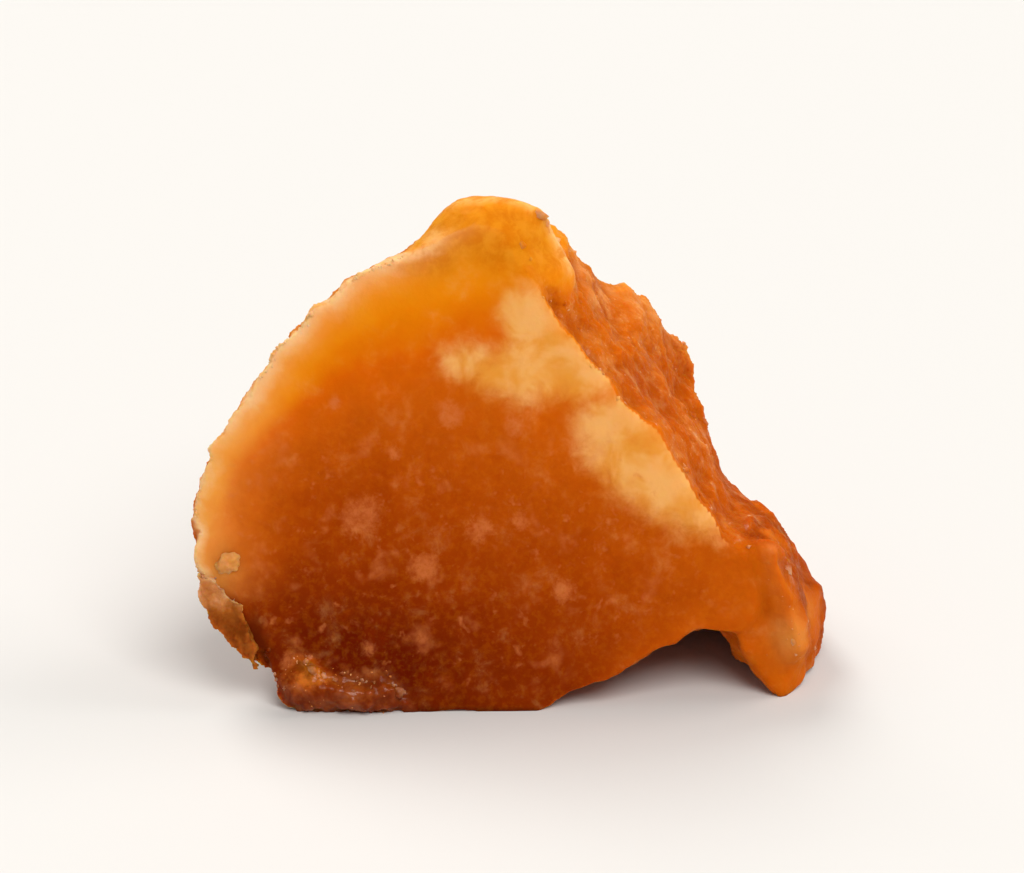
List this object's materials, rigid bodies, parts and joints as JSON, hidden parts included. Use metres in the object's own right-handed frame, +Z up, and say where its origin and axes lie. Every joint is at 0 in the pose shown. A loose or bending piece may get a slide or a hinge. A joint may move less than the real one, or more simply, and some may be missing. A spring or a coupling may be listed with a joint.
{
  "type": "jaggery block",
  "caption": "Broken wedge-shaped lump of amber jaggery with a smooth cast face, a rounded knob on top, a flared foot, and rough granular broken sides.",
  "frame": {"origin": "centre of the bottom of the bounding box, on the surface that the block rests on", "axes": "+Z up; -Y faces the viewer of the smooth cast face, which leans back 15 degrees; +X to the right along the block's longest side, towards the flared foot"},
  "size_m": [0.051, 0.031, 0.0388],
  "materials": {
    "jaggery": "waxy, slightly translucent amber sugar, glossier on moist edges, with pale crystallised patches"
  },
  "bodies": {
    "root": {"jaggery_block": "jaggery"}
  },
  "joints": []
}
